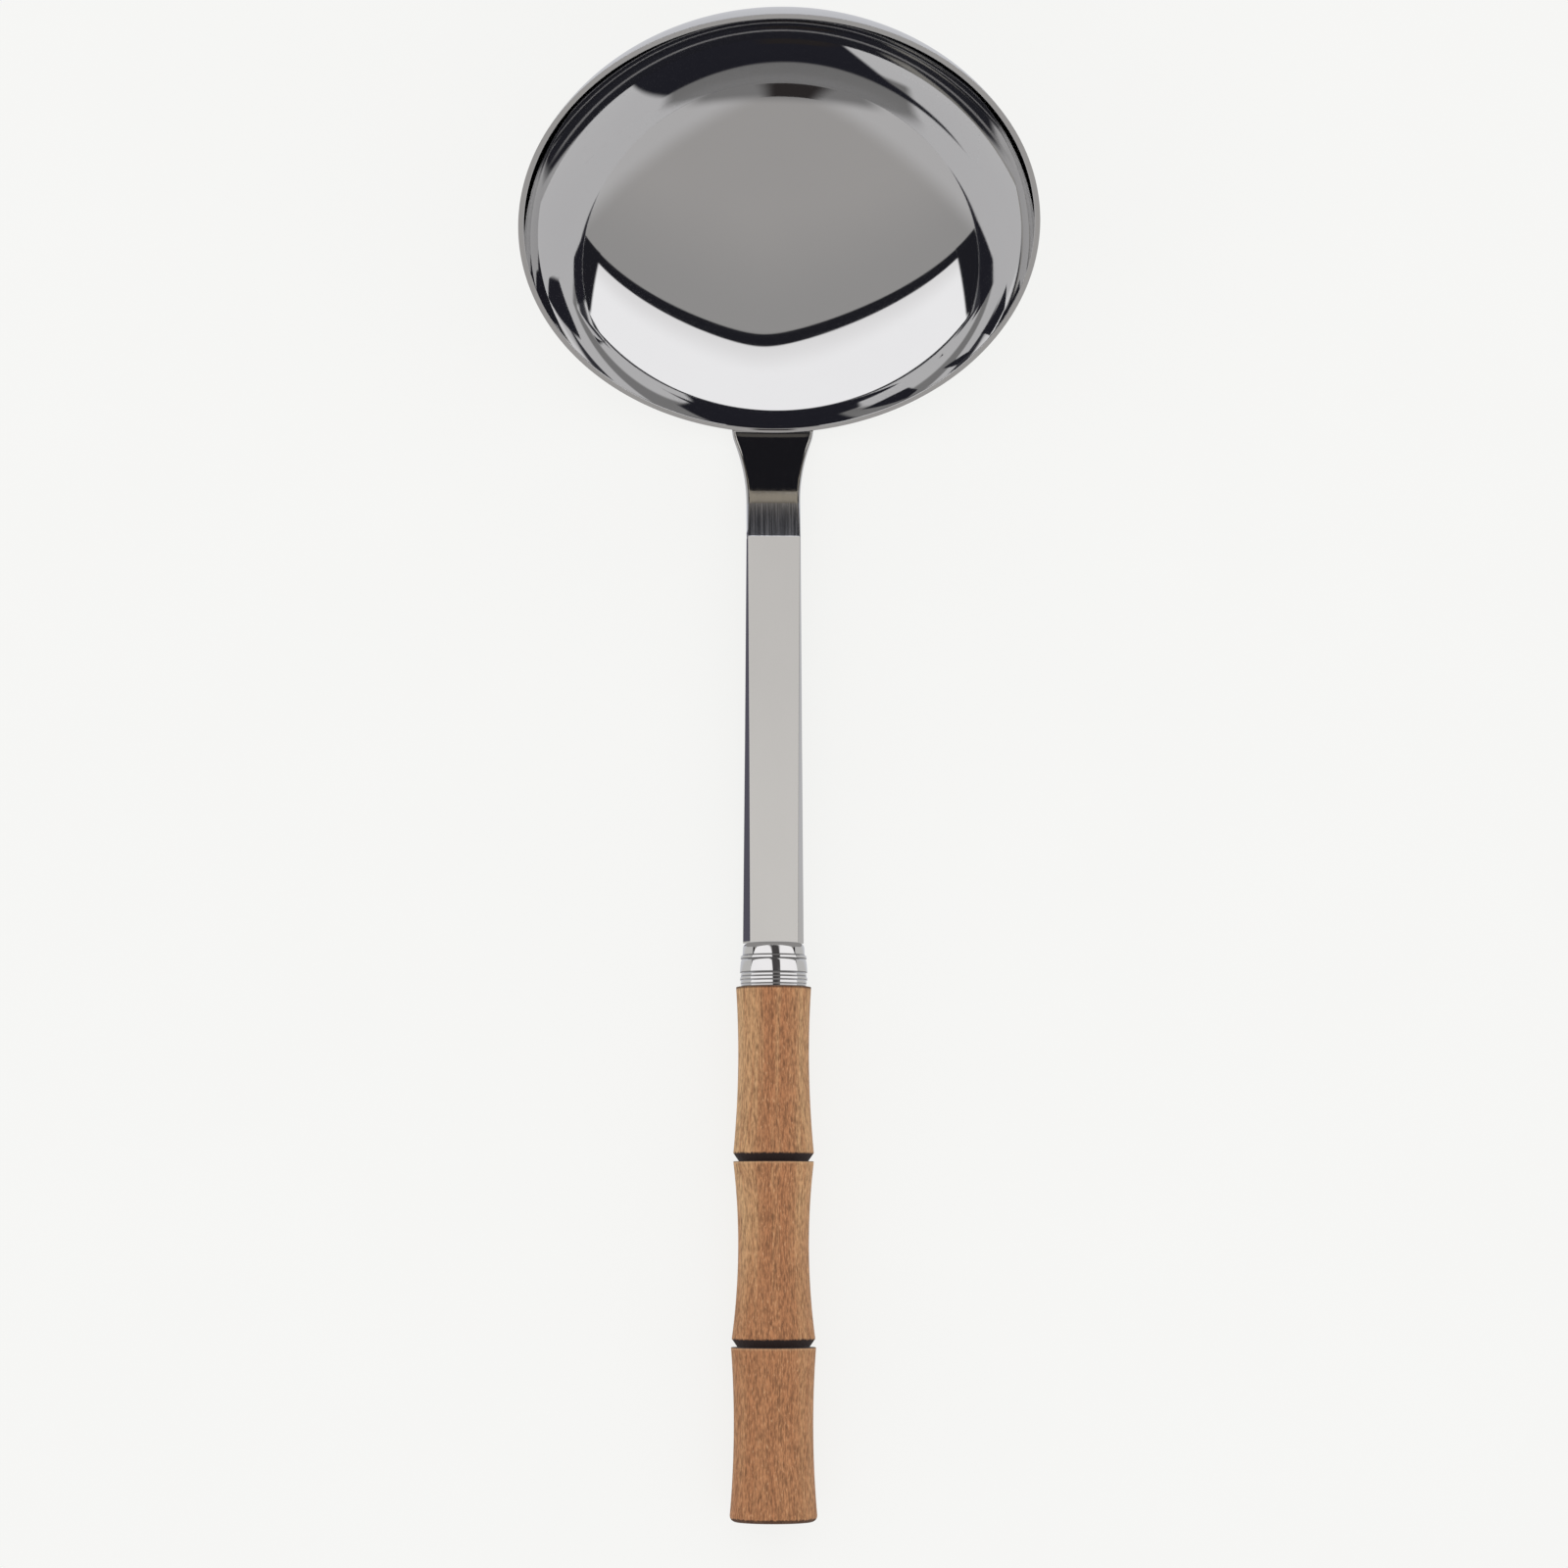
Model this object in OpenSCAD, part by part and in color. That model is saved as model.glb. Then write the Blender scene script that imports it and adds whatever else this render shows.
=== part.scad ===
// Soup ladle lying on its back: a pressed steel bowl, a forged stem with a tang,
// a beaded ferrule and a turned wooden handle.
// X is the width, +Y runs from the butt of the handle to the bowl, and z = 0 is the table.

/* [Bowl] */
// Length from the butt of the handle to the far side of the bowl
overall_l = 278; // [276:0.5:281]
// Outer diameter of the round rim
rim_d = 98; // [97:0.5:100]
// Steepness of the wall at the rim, measured from the plane of the rim
rim_slope = 74; // [73:0.5:75]
// Steepness where the round floor runs into the tighter shoulder
shoulder_slope = 56; // [54:0.5:58]
// Outside radius of the shoulder
shoulder_r = 25; // [24:0.5:27]
// Thickness of the pressed sheet
bowl_wall = 1; // [0.8:0.1:1.4]
// Angle between the rim and the table
bowl_tilt = 50.5; // [50:0.5:52]

/* [Stem] */
// Half width of the flat top face at the ferrule
shaft_half_w = 5; // [4.5:0.1:5.2]
// Thickness where the stem meets the ferrule
shaft_root_t = 4.5; // [4:0.1:5]
// Thickness at the neck bend and along the neck
neck_t = 2.1; // [2:0.1:2.4]
// Draft angle of the forged sides
shaft_draft = 10; // [4:1:12]
// Length of the straight shaft, from the ferrule to the neck bend
shaft_l = 78.8; // [77:0.1:81]
// Distance from the neck bend's start to the start of the flare
flare_offset = 7.3; // [5:0.1:8]
// Half width where the flare starts
flare_half_w = 5.25; // [5:0.05:5.4]
// Radius of the concave flare on each side
flare_r = 34; // [30:1:38]
// Radius of the round end of the palm under the bowl
palm_r = 8; // [7.8:0.1:8.2]
// Thickness of the palm at its ground tip
palm_tip_t = 0.35; // [0.3:0.05:0.4]
// Width of the tang at the ferrule
tang_w = 7; // [6:0.1:7.2]
// Width of the tang at its end
tang_tip_w = 5.5; // [4:0.1:6]
// Thickness of the tang
tang_t = 3; // [2.5:0.1:3]
// Length of the tang below the ferrule's top
tang_l = 54; // [45:1:58]

/* [Ferrule] */
// Height of the ferrule
ferrule_l = 8.5; // [8.3:0.1:9]
// Radius of the plain body between the beads
ferrule_r = 6.1; // [6:0.05:6.3]
// Radius at the upper end of the domed cap
cap_r = 5.9; // [5.8:0.05:6]
// Height of the domed cap
cap_l = 2.45; // [2.3:0.05:2.6]
// Rounding of the cap's shoulder
cap_round = 1.1; // [0.8:0.1:1.4]
// Thickness of the cap's end wall
cap_wall = 1.6; // [1.2:0.1:1.6]

/* [Handle] */
// Length of the segment at the butt
butt_seg_l = 32.8; // [28:0.1:34]
// Length of the middle segment, with the groove below it
mid_seg_l = 35.2; // [30:0.1:36]
// Length of the top segment, with the groove below it
top_seg_l = 33.3; // [30:0.1:35]
// Length of the chamfer that makes each turned groove
groove_l = 1.6; // [1:0.1:2]
// Depth of each groove
groove_depth = 1.1; // [0.8:0.1:1.2]
// Butt segment radii at its lower end, waist and upper end
butt_seg_r = [8.3, 7.55, 8.1];
// Middle segment radii at its lower end, waist and upper end
mid_seg_r = [7.95, 6.75, 7.7];
// Top segment radii at its lower end, waist and upper end
top_seg_r = [7.7, 6.8, 7.2];
// Chamfer round the flat butt
butt_chamfer = 0.9; // [0.5:0.1:1.2]
// Radius of the tenon that carries the ferrule
tenon_r = 5.2; // [5:0.05:5.2]
// Radius of the bore for the tang
bore_r = 3.9; // [3.85:0.05:4]
// Depth of the bore, from the tenon's end
bore_l = 58; // [54:1:70]

/* [Hidden] */
$fn = 96;
arc_fn = 720;
ball_fn = 160;
bead_fn = 96;
bend_steps = 12;
floor_steps = 28;
shoulder_steps = 12;
waist_steps = 24;
clearance = 0.05;
eps = 0.01;
overlap = 0.4;
steel = [0.78, 0.78, 0.77];

// Bowl: half section round its own axis, from the middle of the floor's arc.
// The shoulder's arc runs on from the floor's arc, and the rim plane cuts it.
rim_r = rim_d / 2;
floor_r = (rim_r - shoulder_r * (sin(rim_slope) - sin(shoulder_slope))) / sin(shoulder_slope);
shoulder_c = (floor_r - shoulder_r) * [sin(shoulder_slope), -cos(shoulder_slope)];
rim_point = shoulder_c + shoulder_r * [sin(rim_slope), -cos(rim_slope)];
inner_rim_slope = acos((shoulder_c[1] - rim_point[1]) / (shoulder_r - bowl_wall));
sphere_y = overall_l / 2 - floor_r;

// Handle: the axis lies level, with the widest ring of the butt on the table
axis_z = butt_seg_r[0];
butt_y = -overall_l / 2;
handle_l = butt_seg_l + mid_seg_l + top_seg_l;
ferrule_y = butt_y + handle_l;
stem_y = ferrule_y + ferrule_l;
tenon_l = ferrule_l - cap_wall - clearance;

// Plan outline: the flare and the palm's round end are arcs that run into each other
bend_y = stem_y + shaft_l;
flare_y = bend_y + flare_offset;
flare_x = flare_half_w + flare_r;
palm_y = flare_y + sqrt(pow(flare_r + palm_r, 2) - flare_x * flare_x);
blend = flare_r / (flare_r + palm_r);
blend_half_w = flare_x * (1 - blend);
blend_y = flare_y + (palm_y - flare_y) * blend;

// Palm: the section of its back is an arc that runs on from the neck and thins out to the tip.
// Its lowest point touches the table, which sets the height of the bowl.
tip_sin = (sphere_y - palm_y - palm_r) / floor_r;
root_point = rim_point + neck_t * [sin(rim_slope), -cos(rim_slope)];
tip_point = (floor_r + palm_tip_t) * [sin(bowl_tilt + asin(tip_sin)), -cos(bowl_tilt + asin(tip_sin))];
root_to_tip = tip_point - root_point;
back_r = (root_to_tip * root_to_tip) / (2 * root_to_tip * [-sin(rim_slope), cos(rim_slope)]);
back_c = root_point + back_r * [-sin(rim_slope), cos(rim_slope)];
sphere_z = max(floor_r, back_r - near_side(back_c)[1]);

// Neck: a bend between the shaft's top face and the bowl's wall below the rim.
// slope is the wall's fall at the rim, and near_rim is the rim's lowest outer point.
slope = rim_slope - bowl_tilt;
near_rim = [sphere_y, sphere_z] + near_side(rim_point);
bend_z = axis_z + neck_t / 2;
shaft_slope = atan((shaft_root_t - neck_t) / 2 / shaft_l);
bend_r = ((near_rim[0] - bend_y) * sin(slope) + (near_rim[1] - bend_z) * cos(slope))
    / (1 - cos(slope - shaft_slope));
bend_centre = [bend_y - bend_r * sin(shaft_slope), bend_z - bend_r * cos(shaft_slope)];

// Beads of the ferrule: lower end, upper end and crest height above the wood, and crest radius
beads = [
    [0.05, 0.53, 0.29, 6.26],
    [0.57, 1.28, 0.92, 6.34],
    [1.32, 1.97, 1.64, 6.46],
    [2.01, 2.7, 2.36, 6.3],
    [2.74, 5.31, 3.3, 6.46],
    [5.35, 6.03, 5.7, 6.33]
];

// Points of the floor's and shoulder's arcs, set in by a margin, between two steepnesses
function outside_arcs(margin, from, to) =
    let (floor_half = [for (i = [0:floor_steps])
        (floor_r - margin) * [sin(shoulder_slope * i / floor_steps), -cos(shoulder_slope * i / floor_steps)]])
    let (end = max(from, to))
    let (shoulder_half = [for (i = [1:shoulder_steps])
        let (a = shoulder_slope + (end - shoulder_slope) * i / shoulder_steps)
        shoulder_c + (shoulder_r - margin) * [sin(a), -cos(a)]])
    let (points = concat(floor_half, shoulder_half))
    [for (i = [0:len(points) - 1]) points[from < to ? i : len(points) - 1 - i]];

// Distance along the ladle and height of a point of the bowl's half section, on the handle's side
function near_side(p) =
    [-p[0] * cos(bowl_tilt) - p[1] * sin(bowl_tilt), -p[0] * sin(bowl_tilt) + p[1] * cos(bowl_tilt)];

// Points of an arc in a plane of distance along the stem and height, by the fall of its tangent
function fall_arc(r, from, to) =
    [for (i = [0:bend_steps])
        let (a = from + (to - from) * i / bend_steps)
        bend_centre + r * [sin(a), cos(a)]];

// Points of a waisted segment's arc between two heights, with radii at its lower end, waist and upper end
function waist_arc(from, to, radii) =
    let (l = to - from)
    let (lean = radii[2] - radii[0])
    let (sag = (radii[0] + radii[2]) / 2 - radii[1])
    let (half_chord = sqrt(l * l + lean * lean) / 2)
    let (arc_r = (half_chord * half_chord + sag * sag) / (2 * sag))
    let (half_angle = asin(half_chord / arc_r))
    let (along = [lean, l] / (2 * half_chord))
    let (out = [l, -lean] / (2 * half_chord))
    let (centre = [(radii[0] + radii[2]) / 2, (from + to) / 2] + (arc_r - sag) * out)
    [for (i = [0:waist_steps])
        let (a = half_angle * (2 * i / waist_steps - 1))
        centre + arc_r * (sin(a) * along - cos(a) * out)];

// Places a shape built along +Z on the handle's axis, at a distance along Y
module on_axis(y) {
    translate([0, y, axis_z])
        rotate([-90, 0, 0])
            children();
}

// Places a shape built round the bowl's own axis
module on_bowl() {
    translate([0, sphere_y, sphere_z])
        rotate([bowl_tilt, 0, 0])
            children();
}

module bowl() {
    color(steel)
        on_bowl()
            rotate_extrude($fn = ball_fn)
                polygon(concat(
                    outside_arcs(0, 0, rim_slope),
                    outside_arcs(bowl_wall, inner_rim_slope, 0)
                ));
}

// The filled outside of the bowl, up to a little above the rim
module bowl_form() {
    above_rim = 4;
    on_bowl()
        rotate_extrude($fn = ball_fn)
            polygon(concat(
                outside_arcs(0, 0, rim_slope),
                [rim_point + [0, above_rim], [0, 0]]
            ));
}

// Side outline of the shaft and neck, up to the rim
module stem_side() {
    thin_r = bend_r - neck_t;
    under_rim = near_rim - neck_t * [sin(slope), cos(slope)];
    polygon(concat(
        [[stem_y, axis_z + shaft_root_t / 2]],
        fall_arc(bend_r, shaft_slope, slope),
        [near_rim, under_rim],
        fall_arc(thin_r, slope, shaft_slope),
        [[stem_y, axis_z - shaft_root_t / 2]]
    ));
}

// Plan outline of the neck's flare and the palm
module flare_plan() {
    translate([0, palm_y])
        circle(palm_r, $fn = arc_fn);
    difference() {
        translate([-blend_half_w, flare_y])
            square([2 * blend_half_w, blend_y - flare_y]);
        for (side = [-1, 1])
            translate([side * flare_x, flare_y])
                circle(flare_r, $fn = arc_fn);
    }
}

// Drafted bar that the shaft and neck are cut from
module drafted_bar() {
    top_z = axis_z + shaft_root_t / 2;
    bottom_half_w = shaft_half_w + top_z * tan(shaft_draft);
    translate([0, near_rim[0], 0])
        rotate([90, 0, 0])
            linear_extrude(near_rim[0] - stem_y)
                polygon([
                    [-bottom_half_w, 0],
                    [bottom_half_w, 0],
                    [shaft_half_w, top_z],
                    [-shaft_half_w, top_z]
                ]);
}

// Everything on the bowl's side of the plane that is square to the neck at the rim
module past_rim() {
    reach = 2 * palm_r + 4;
    translate([0, near_rim[0], near_rim[1]])
        rotate([-slope, 0, 0])
            translate([-reach, -overlap, -reach])
                cube([2 * reach, 2 * reach, 2 * reach]);
}

// The ring that shapes the back of the palm
module back_ring() {
    on_bowl()
        rotate_extrude($fn = ball_fn)
            translate(back_c)
                circle(back_r, $fn = ball_fn);
}

// The part of the neck by the rim that lies outside the ring of the palm's back
module rim_trim(span) {
    trim_l = 5;
    difference() {
        translate([-span / 2, near_rim[0] - trim_l, -1])
            cube([span, span, span]);
        back_ring();
    }
}

// Shaft and neck, from the ferrule to the rim
module shaft(span) {
    difference() {
        intersection() {
            rotate([90, 0, 90])
                linear_extrude(span, center = true)
                    stem_side();
            union() {
                drafted_bar();
                linear_extrude(span)
                    flare_plan();
            }
        }
        rim_trim(span);
    }
}

// Palm that the bowl sits on
module palm() {
    intersection() {
        back_ring();
        linear_extrude(near_rim[1] + overlap)
            flare_plan();
        past_rim();
    }
}

module stem() {
    color(steel) {
        difference() {
            union() {
                shaft(4 * palm_r);
                palm();
            }
            bowl_form();
        }
        tang(0);
    }
}

// Flat tapered tang that runs a little way into the shaft, with a margin on every side
module tang(margin) {
    end_l = tang_l + margin + overlap;
    on_axis(stem_y - tang_l - margin)
        rotate([90, 0, 0])
            linear_extrude(tang_t + 2 * margin, center = true)
                polygon([
                    [-tang_tip_w / 2 - margin, 0],
                    [tang_tip_w / 2 + margin, 0],
                    [tang_w / 2 + margin, end_l],
                    [-tang_w / 2 - margin, end_l]
                ]);
}

// Half section of one rounded bead, standing out of the ferrule's body
module bead_section(from, to, crest_y, crest_r) {
    rise = crest_r - ferrule_r;
    half_l = max(to - crest_y, crest_y - from);
    bead_r = (half_l * half_l + rise * rise) / (2 * rise);
    intersection() {
        translate([crest_r - bead_r, crest_y])
            circle(bead_r, $fn = bead_fn);
        translate([ferrule_r - rise, from])
            square([3 * rise, to - from]);
    }
}

module ferrule() {
    color(steel)
        difference() {
            on_axis(ferrule_y)
                rotate_extrude() {
                    square([ferrule_r, ferrule_l - cap_l]);
                    polygon([
                        [0, ferrule_l - cap_l],
                        [ferrule_r, ferrule_l - cap_l],
                        [cap_r, ferrule_l - cap_round],
                        [0, ferrule_l - cap_round]
                    ]);
                    translate([0, ferrule_l - cap_round])
                        square([cap_r - cap_round, cap_round]);
                    intersection() {
                        translate([cap_r - cap_round, ferrule_l - cap_round])
                            circle(cap_round, $fn = bead_fn);
                        translate([0, ferrule_l - cap_round])
                            square([cap_r, cap_round]);
                    }
                    for (b = beads)
                        bead_section(b[0], b[1], b[2], b[3]);
                }
            on_axis(ferrule_y - eps)
                cylinder(r = tenon_r + clearance, h = ferrule_l - cap_wall + eps);
            tang(clearance);
        }
}

// Half section of the turned outside, from the butt's middle to the end of the tenon
module turned_section() {
    mid_y = butt_seg_l;
    top_y = butt_seg_l + mid_seg_l;
    polygon(concat(
        [[0, 0], [butt_seg_r[0] - butt_chamfer, 0]],
        waist_arc(butt_chamfer, mid_y, butt_seg_r),
        [[mid_seg_r[0] - groove_depth, mid_y]],
        waist_arc(mid_y + groove_l, top_y, mid_seg_r),
        [[top_seg_r[0] - groove_depth, top_y]],
        waist_arc(top_y + groove_l, handle_l, top_seg_r),
        [[tenon_r, handle_l], [tenon_r, handle_l + tenon_l], [0, handle_l + tenon_l]]
    ));
}

module handle() {
    bore_y = ferrule_y + tenon_l - bore_l;
    color([0.72, 0.5, 0.33])
        difference() {
            on_axis(butt_y)
                rotate_extrude()
                    turned_section();
            on_axis(bore_y)
                cylinder(r = bore_r, h = bore_l + eps);
        }
}

// Cured adhesive that fills the bore around the tang
module tang_adhesive() {
    bed_y = ferrule_y + tenon_l - bore_l;
    color([0.85, 0.8, 0.62])
        difference() {
            on_axis(bed_y)
                cylinder(r = bore_r, h = bore_l);
            tang(0);
        }
}

bowl();
stem();
ferrule();
handle();
tang_adhesive();
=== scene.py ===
import math
import bmesh
import bpy
from mathutils import Matrix, Vector


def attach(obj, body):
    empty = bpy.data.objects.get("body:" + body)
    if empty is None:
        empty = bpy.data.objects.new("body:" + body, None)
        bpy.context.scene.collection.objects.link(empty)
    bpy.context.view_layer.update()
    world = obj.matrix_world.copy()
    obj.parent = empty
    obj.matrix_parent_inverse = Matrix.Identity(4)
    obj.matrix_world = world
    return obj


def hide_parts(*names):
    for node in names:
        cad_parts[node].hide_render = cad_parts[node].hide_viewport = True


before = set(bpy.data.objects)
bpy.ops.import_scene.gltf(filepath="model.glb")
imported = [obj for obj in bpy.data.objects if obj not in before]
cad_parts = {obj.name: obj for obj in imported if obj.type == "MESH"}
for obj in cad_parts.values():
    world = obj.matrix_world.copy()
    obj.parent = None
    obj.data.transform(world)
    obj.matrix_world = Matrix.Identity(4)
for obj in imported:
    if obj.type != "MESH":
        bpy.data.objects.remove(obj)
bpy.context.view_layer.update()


# Bowl: a round bowl pressed from 1 mm stainless sheet, with a round floor that runs into a tighter
# shoulder. Its rim is ground flat with both edges broken, and it is polished to a mirror.
MM = 0.001
floor_r = 55.1174
floor_centre = Vector((0, 83.8826, 55.9677))
shoulder_r = 25.0
shoulder_centre = (24.96846, -16.84144)
shoulder_from = 56.0
rim_steepness = 74.0
inner_rim_steepness = 73.31425
sheet = 1.0
rim_break = 0.13
floor_steps = 72
shoulder_steps = 28
bowl_lean = math.radians(50.5)


def arc(centre, radius, start, end, steps):
    """Points of a half section's arc, by the steepness of the wall in degrees."""
    points = []
    for step in range(steps + 1):
        angle = math.radians(start + (end - start) * step / steps)
        points.append((centre[0] + radius * math.sin(angle), centre[1] - radius * math.cos(angle)))
    return points


def eased(before, corner, after, size, steps=4):
    """A corner of a half section with its edge broken to a small round."""
    start = Vector(corner) + (Vector(before) - Vector(corner)).normalized() * size
    end = Vector(corner) + (Vector(after) - Vector(corner)).normalized() * size
    points = []
    for step in range(steps + 1):
        t = step / steps
        points.append(tuple(start * (1 - t) ** 2 + Vector(corner) * 2 * t * (1 - t) + end * t * t))
    return points


def spun(name, section, turns):
    """A closed skin turned round Z from a half section of radius and height in millimetres."""
    points = []
    rings = []
    faces = []
    for radius, height in section:
        if callable(radius) or radius > 1e-6:
            rings.append(range(len(points), len(points) + turns))
            for turn in range(turns):
                angle = 2 * math.pi * turn / turns
                reach = radius(angle) if callable(radius) else radius
                points.append((reach * math.cos(angle) * MM, reach * math.sin(angle) * MM, height * MM))
        else:
            rings.append([len(points)] * turns)
            points.append((0, 0, height * MM))
    for low, high in zip(rings, rings[1:]):
        for turn in range(turns):
            following = (turn + 1) % turns
            corners = (low[turn], low[following], high[following], high[turn])
            faces.append(tuple(dict.fromkeys(corners)))
    mesh = bpy.data.meshes.new(name)
    mesh.from_pydata(points, [], faces)
    mesh.polygons.foreach_set("use_smooth", [True] * len(mesh.polygons))
    mesh.set_sharp_from_angle(angle=math.radians(38))
    piece = bpy.data.objects.new(name, mesh)
    bpy.context.scene.collection.objects.link(piece)
    return piece


def added(tree, kind, **settings):
    """A new node of a material with its settings."""
    node = tree.nodes.new(kind)
    for key, value in settings.items():
        setattr(node, key, value)
    return node


def fed(tree, node, **inputs):
    """Sets or links a node's inputs by name and returns the node."""
    for key, value in inputs.items():
        socket = node.inputs[key.replace("_", " ")]
        if isinstance(value, bpy.types.NodeSocket):
            tree.links.new(value, socket)
        else:
            socket.default_value = value
    return node


def worked(tree, operation, *terms):
    """The output of a sum, product or the like of sockets and numbers."""
    node = added(tree, "ShaderNodeMath", operation=operation)
    for place, term in enumerate(terms):
        if isinstance(term, bpy.types.NodeSocket):
            tree.links.new(term, node.inputs[place])
        else:
            node.inputs[place].default_value = term
    return node.outputs[0]


def product(tree, first, *others):
    """The output of sockets and numbers multiplied in turn."""
    for other in others:
        first = worked(tree, "MULTIPLY", first, other)
    return first


def total(tree, first, second):
    """The output of two sockets or numbers added up."""
    return worked(tree, "ADD", first, second)


def distance(tree, first, second):
    """The length of a slanted line by its two legs."""
    return worked(tree, "SQRT", total(tree, product(tree, first, first), product(tree, second, second)))


def parted(tree, place):
    """The three coordinates of a place or a direction."""
    node = added(tree, "ShaderNodeSeparateXYZ")
    tree.links.new(place, node.inputs[0])
    return node.outputs[:]


def ramped(tree, value, start, end, low=0.0, high=1.0):
    """A soft step of a value from low at start to high at end."""
    node = added(tree, "ShaderNodeMapRange", interpolation_type="SMOOTHSTEP")
    tree.links.new(value, node.inputs["Value"])
    node.inputs["From Min"].default_value = start
    node.inputs["From Max"].default_value = end
    node.inputs["To Min"].default_value = low
    node.inputs["To Max"].default_value = high
    return node.outputs["Result"]


def blended(tree, share, first, second):
    """A colour between two colours, each a socket or three numbers."""
    node = added(tree, "ShaderNodeMix", data_type="RGBA")
    for place, term in ((0, share), (6, first), (7, second)):
        if isinstance(term, bpy.types.NodeSocket):
            tree.links.new(term, node.inputs[place])
        elif place:
            node.inputs[place].default_value = (*term, 1)
        else:
            node.inputs[place].default_value = term
    return node.outputs[2]


def mottled(tree, place, scale, detail=2.0):
    """A noise figure at points that are stretched by three numbers per metre."""
    stretch = added(tree, "ShaderNodeMapping")
    fed(tree, stretch, Vector=place, Scale=scale)
    noise = added(tree, "ShaderNodeTexNoise")
    fed(tree, noise, Vector=stretch.outputs["Vector"], Scale=1.0, Detail=detail)
    return noise.outputs["Fac"]


def finish_of(name):
    """A new material's tree, its shader and the place of a point on its piece."""
    material = bpy.data.materials.new(name)
    material.use_nodes = True
    tree = material.node_tree
    shader = tree.nodes["Principled BSDF"]
    place = added(tree, "ShaderNodeTexCoord").outputs["Object"]
    return material, tree, shader, place


def roughened(tree, shader, height, depth, strength):
    """Bump of a shader from a height figure, with its depth in metres."""
    bump = added(tree, "ShaderNodeBump")
    fed(tree, bump, Height=height, Distance=depth, Strength=strength)
    tree.links.new(bump.outputs["Normal"], shader.inputs["Normal"])


outside = arc((0, 0), floor_r, 0, shoulder_from, floor_steps)
outside += arc(shoulder_centre, shoulder_r, shoulder_from, rim_steepness, shoulder_steps)[1:]
inside = arc(shoulder_centre, shoulder_r - sheet, inner_rim_steepness, shoulder_from, shoulder_steps)
inside += arc((0, 0), floor_r - sheet, shoulder_from, 0, floor_steps)[1:]
bowl_section = outside[:-1] + eased(outside[-2], outside[-1], inside[0], rim_break)
bowl_section += eased(outside[-1], inside[0], inside[1], rim_break) + inside[1:]
bowl_section[0] = (0, bowl_section[0][1])
bowl_section[-1] = (0, bowl_section[-1][1])
pressed_bowl = spun("pressed_bowl", bowl_section, 288)
bowl_stand = Matrix.Translation(floor_centre * MM) @ Matrix.Rotation(bowl_lean, 4, "X")
pressed_bowl.data.transform(bowl_stand)

mirror_steel, tree, shader, place = finish_of("mirror_polished_bowl_steel")
on_axis = added(tree, "ShaderNodeMapping", vector_type="TEXTURE")
fed(tree, on_axis, Vector=place, Location=floor_centre * MM, Rotation=(bowl_lean, 0, 0))
sideways, forwards, along_axis = parted(tree, on_axis.outputs["Vector"])
turned_place = added(tree, "ShaderNodeCombineXYZ")
fed(tree, turned_place, X=distance(tree, sideways, forwards), Y=along_axis)
buff_lines = mottled(tree, turned_place.outputs[0], (5200, 5200, 1))
cloudiness = mottled(tree, place, (45, 45, 45), 3)
bowl_tone = blended(tree, cloudiness, (0.725, 0.725, 0.73), (0.755, 0.755, 0.755))
tree.links.new(bowl_tone, shader.inputs["Base Color"])
tree.links.new(ramped(tree, buff_lines, 0.3, 0.75, 0.015, 0.045), shader.inputs["Roughness"])
shader.inputs["Metallic"].default_value = 1
roughened(tree, shader, buff_lines, 0.00001, 0.03)
pressed_bowl.data.materials.append(mirror_steel)
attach(pressed_bowl, "root")
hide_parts("bowl")


# Stem: one forged and polished steel bar. Its palm is welded under the bowl, the flared neck falls
# from a crisp bend, the shaft thickens towards the ferrule, and the tang runs on inside the wood.
stem_start = -29.2
bend_at = 49.6
axis_height = 8.3
rim_at = 71.0272
rim_height = 3.0625
neck_thickness = 2.1
root_thickness = 4.5
flare_at = 56.9
flare_radius = 34.0
flare_half_width = 5.25
palm_at = 71.8478
palm_radius = 8.0
flare_end = 69.0006
palm_back_ring = (37.8452, -20.5338)
palm_back_radius = 13.7043
palm_back_from = 70.19
tang_length = 54.0
tang_half_height = 1.5
tang_edge = 0.3
shaft_fall = 0.87
bend_half = 0.15
curl_from = 63
flare_curl = 0.0065
shaft_half_widths = [(stem_start, 5.84), (10.0, 5.52), (bend_at, 5.27), (flare_at, flare_half_width)]
side_draft = [(stem_start, 1.2), (bend_at, 0.17), (flare_at, 0.2)]
top_edges = [(bend_at, 0.22), (flare_at, 0.5)]
base_edges = [(bend_at, 0.5), (flare_at, 0.7)]
palm_steps = 40
palm_turn_to = 87.5
seat_run = 2.2
seat_fall = 0.26
weld_gap = 0.02
thinnest_palm = 0.25


def between(pairs, at):
    """A figure read off a line through given pairs of place and value."""
    for (start, first), (end, second) in zip(pairs, pairs[1:]):
        if at <= end:
            return first + (second - first) * max(0, at - start) / (end - start)
    return pairs[-1][1]


neck_fall = [
    (bend_at - bend_half, shaft_fall), (bend_at + bend_half, 15.3), (56.4, 17.2), (58.6, 18.5), (69.4, 15.2),
    (rim_at, 13.5),
]
neck_tops = [(bend_at - bend_half, axis_height + neck_thickness / 2)]
while neck_tops[-1][0] < rim_at:
    along = min(neck_tops[-1][0] + 0.05, rim_at)
    drop = math.tan(math.radians(between(neck_fall, along))) * (along - neck_tops[-1][0])
    neck_tops.append((along, neck_tops[-1][1] - drop))
to_rim = (neck_tops[0][1] - rim_height) / (neck_tops[0][1] - neck_tops[-1][1])
neck_tops = [(along, neck_tops[0][1] - (neck_tops[0][1] - top) * to_rim) for along, top in neck_tops]
shaft_tops = [(stem_start, axis_height + root_thickness / 2)] + neck_tops


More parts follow.
